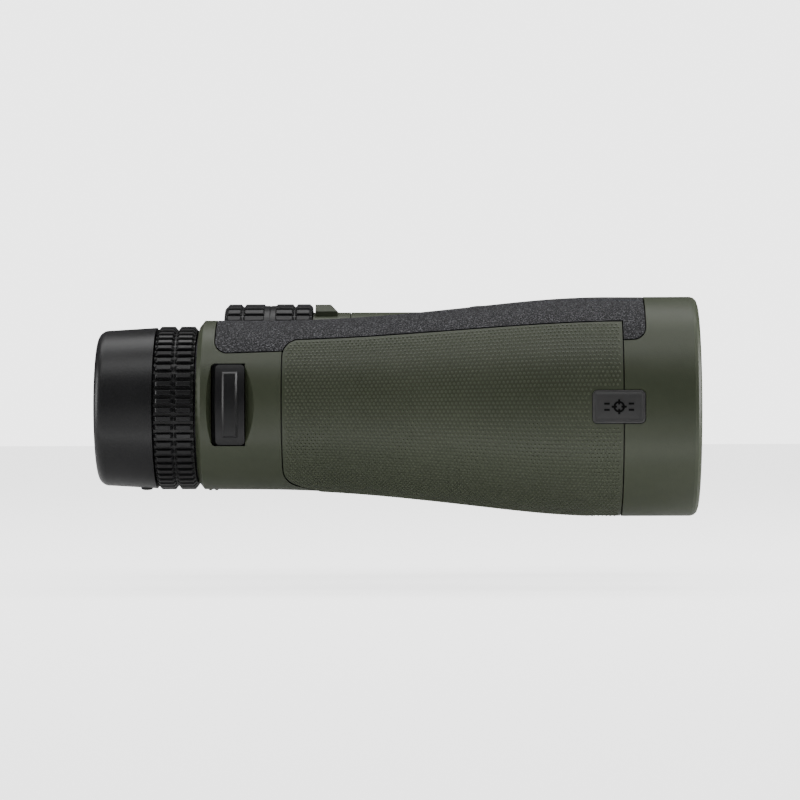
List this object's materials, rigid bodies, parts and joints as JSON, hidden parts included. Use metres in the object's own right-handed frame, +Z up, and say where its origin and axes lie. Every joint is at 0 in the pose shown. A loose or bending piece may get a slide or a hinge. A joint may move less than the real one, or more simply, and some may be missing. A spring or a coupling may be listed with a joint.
{
  "type": "laser rangefinder binocular",
  "caption": "Rangefinding roof-prism binocular: rubber-armoured twin barrels on a folding hinge, ribbed focus wheel, diopter rings, twist-up eyecups, fire and mode buttons.",
  "frame": {"origin": "middle of the bounding box in X and Y, on the plane it rests on; the barrels lie parallel to X", "axes": "+X the way the objectives look, +Z up, +Y the user's left"},
  "size_m": [0.1484, 0.1228, 0.0544],
  "materials": {
    "green_armor": "smooth satin moulded rubber",
    "green_grip": "fine raised dots",
    "green_metal": "satin paint",
    "black_spine": "fine grain",
    "badge_grey": "satin",
    "black_plastic": "satin",
    "black_rubber": "satin",
    "black_metal": "satin",
    "alloy_black": "anodised matt black",
    "dark_steel": "blackened",
    "coated_glass": "coated",
    "clear_glass": "polished",
    "battery_wrap": "gloss",
    "circuit_board": "solder mask"
  },
  "bodies": {
    "right_barrel": {"right_barrel_chassis": "alloy_black", "right_body_armor": "green_armor", "right_grip_panel": "green_grip", "right_top_spine": "black_spine", "right_objective_bezel": "green_armor", "right_side_badge": "badge_grey", "right_strap_bar": "black_plastic", "right_bridge_arm": "green_metal", "right_bridge_screws": "dark_steel", "right_objective_cell": "alloy_black", "right_objective_lens": "coated_glass", "right_prism_cage": "alloy_black", "right_half_penta_prism": "clear_glass", "right_roof_prism": "clear_glass", "right_ocular_tube": "alloy_black", "hinge_axle": "alloy_black", "battery": "battery_wrap", "main_board": "circuit_board", "display_glass": "clear_glass", "laser_receiver": "alloy_black"},
    "left_barrel": {"left_barrel_chassis": "alloy_black", "left_body_armor": "green_armor", "left_grip_panel": "green_grip", "left_top_spine": "black_spine", "left_objective_bezel": "green_armor", "left_side_badge": "badge_grey", "left_strap_bar": "black_plastic", "left_bridge_arm": "green_metal", "left_bridge_screws": "dark_steel", "left_objective_cell": "alloy_black", "left_objective_lens": "coated_glass", "left_prism_cage": "alloy_black", "left_half_penta_prism": "clear_glass", "left_roof_prism": "clear_glass", "left_ocular_tube": "alloy_black", "mode_board": "circuit_board", "laser_emitter": "alloy_black"},
    "focus_wheel": {"focus_wheel_grip": "black_rubber", "focus_hub": "black_plastic"},
    "focus_slider": {"focus_slider": "dark_steel"},
    "fire_button": {"fire_button": "black_plastic"},
    "mode_button": {"mode_button": "black_plastic"},
    "battery_cap": {"battery_cap": "black_metal", "cap_seal": "black_rubber"},
    "right_focus": {"right_focus_carriage": "alloy_black", "right_focus_lens": "clear_glass"},
    "right_diopter": {"right_diopter_ring": "black_rubber"},
    "right_ocular": {"right_ocular_cell": "alloy_black", "right_eye_lens": "coated_glass"},
    "right_eyecup_guide": {"right_eyecup_guide": "black_plastic"},
    "right_eyecup": {"right_eyecup_sleeve": "black_plastic", "right_eyecup_rubber": "black_rubber"},
    "left_focus": {"left_focus_carriage": "alloy_black", "left_focus_lens": "clear_glass"},
    "left_diopter": {"left_diopter_ring": "black_rubber"},
    "left_ocular": {"left_ocular_cell": "alloy_black", "left_eye_lens": "coated_glass"},
    "left_eyecup_guide": {"left_eyecup_guide": "black_plastic"},
    "left_eyecup": {"left_eyecup_sleeve": "black_plastic", "left_eyecup_rubber": "black_rubber"}
  },
  "joints": [
    {"name": "interpupillary_hinge", "type": "hinge", "parent": "right_barrel", "child": "left_barrel", "pos_m": [0, 0, 0.0403], "axis": [1, 0, 0], "range_deg": [-34.5, 24]},
    {"name": "focus_wheel_turn", "type": "hinge", "parent": "right_barrel", "child": "focus_wheel", "pos_m": [-0.035, 0, 0.0403], "axis": [1, 0, 0], "range_deg": [-200, 200]},
    {"name": "focus_slider_slide", "type": "slide", "parent": "right_barrel", "child": "focus_slider", "axis": [1, 0, 0], "range_m": [-0.0015, 0.0015]},
    {"name": "right_focus_slide", "type": "slide", "parent": "right_barrel", "child": "right_focus", "axis": [1, 0, 0], "range_m": [-0.0015, 0.0015]},
    {"name": "left_focus_slide", "type": "slide", "parent": "left_barrel", "child": "left_focus", "axis": [1, 0, 0], "range_m": [-0.0015, 0.0015]},
    {"name": "battery_cap_release", "type": "slide", "parent": "right_barrel", "child": "battery_cap", "axis": [1, 0, 0], "range_m": [0, 0.02]},
    {"name": "right_diopter_turn", "type": "hinge", "parent": "right_barrel", "child": "right_diopter", "pos_m": [-0.0545, -0.034, 0.0272], "axis": [1, 0, 0], "range_deg": [-60, 60]},
    {"name": "right_ocular_slide", "type": "slide", "parent": "right_barrel", "child": "right_ocular", "axis": [1, 0, 0], "range_m": [-0.0012, 0.0012]},
    {"name": "right_eyecup_twist", "type": "hinge", "parent": "right_barrel", "child": "right_eyecup_guide", "pos_m": [-0.0704, -0.034, 0.0272], "axis": [1, 0, 0], "range_deg": [0, 120]},
    {"name": "right_eyecup_extend", "type": "slide", "parent": "right_eyecup_guide", "child": "right_eyecup", "axis": [-1, 0, 0], "range_m": [0, 0.008]},
    {"name": "left_diopter_turn", "type": "hinge", "parent": "left_barrel", "child": "left_diopter", "pos_m": [-0.0545, 0.034, 0.0272], "axis": [1, 0, 0], "range_deg": [-60, 60]},
    {"name": "left_ocular_slide", "type": "slide", "parent": "left_barrel", "child": "left_ocular", "axis": [1, 0, 0], "range_m": [-0.0012, 0.0012]},
    {"name": "left_eyecup_twist", "type": "hinge", "parent": "left_barrel", "child": "left_eyecup_guide", "pos_m": [-0.0704, 0.034, 0.0272], "axis": [1, 0, 0], "range_deg": [0, 120]},
    {"name": "left_eyecup_extend", "type": "slide", "parent": "left_eyecup_guide", "child": "left_eyecup", "axis": [-1, 0, 0], "range_m": [0, 0.008]},
    {"name": "fire_button_press", "type": "slide", "parent": "right_barrel", "child": "fire_button", "axis": [0, -0.342, -0.9397], "range_m": [0, 0.0008], "stiffness_N_per_m": 500},
    {"name": "mode_button_press", "type": "slide", "parent": "left_barrel", "child": "mode_button", "axis": [0, 0.342, -0.9397], "range_m": [0, 0.0008], "stiffness_N_per_m": 500}
  ],
  "couplings": [
    {"joint": "focus_slider_slide", "follows": "focus_wheel_turn", "m_per_rad": 0.00042929},
    {"joint": "right_focus_slide", "follows": "focus_wheel_turn", "m_per_rad": 0.00042929},
    {"joint": "left_focus_slide", "follows": "focus_wheel_turn", "m_per_rad": 0.00042929},
    {"joint": "right_ocular_slide", "follows": "right_diopter_turn", "m_per_rad": 0.0011448},
    {"joint": "right_eyecup_extend", "follows": "right_eyecup_twist", "m_per_rad": 0.0038159},
    {"joint": "left_ocular_slide", "follows": "left_diopter_turn", "m_per_rad": 0.0011448},
    {"joint": "left_eyecup_extend", "follows": "left_eyecup_twist", "m_per_rad": 0.0038159}
  ]
}
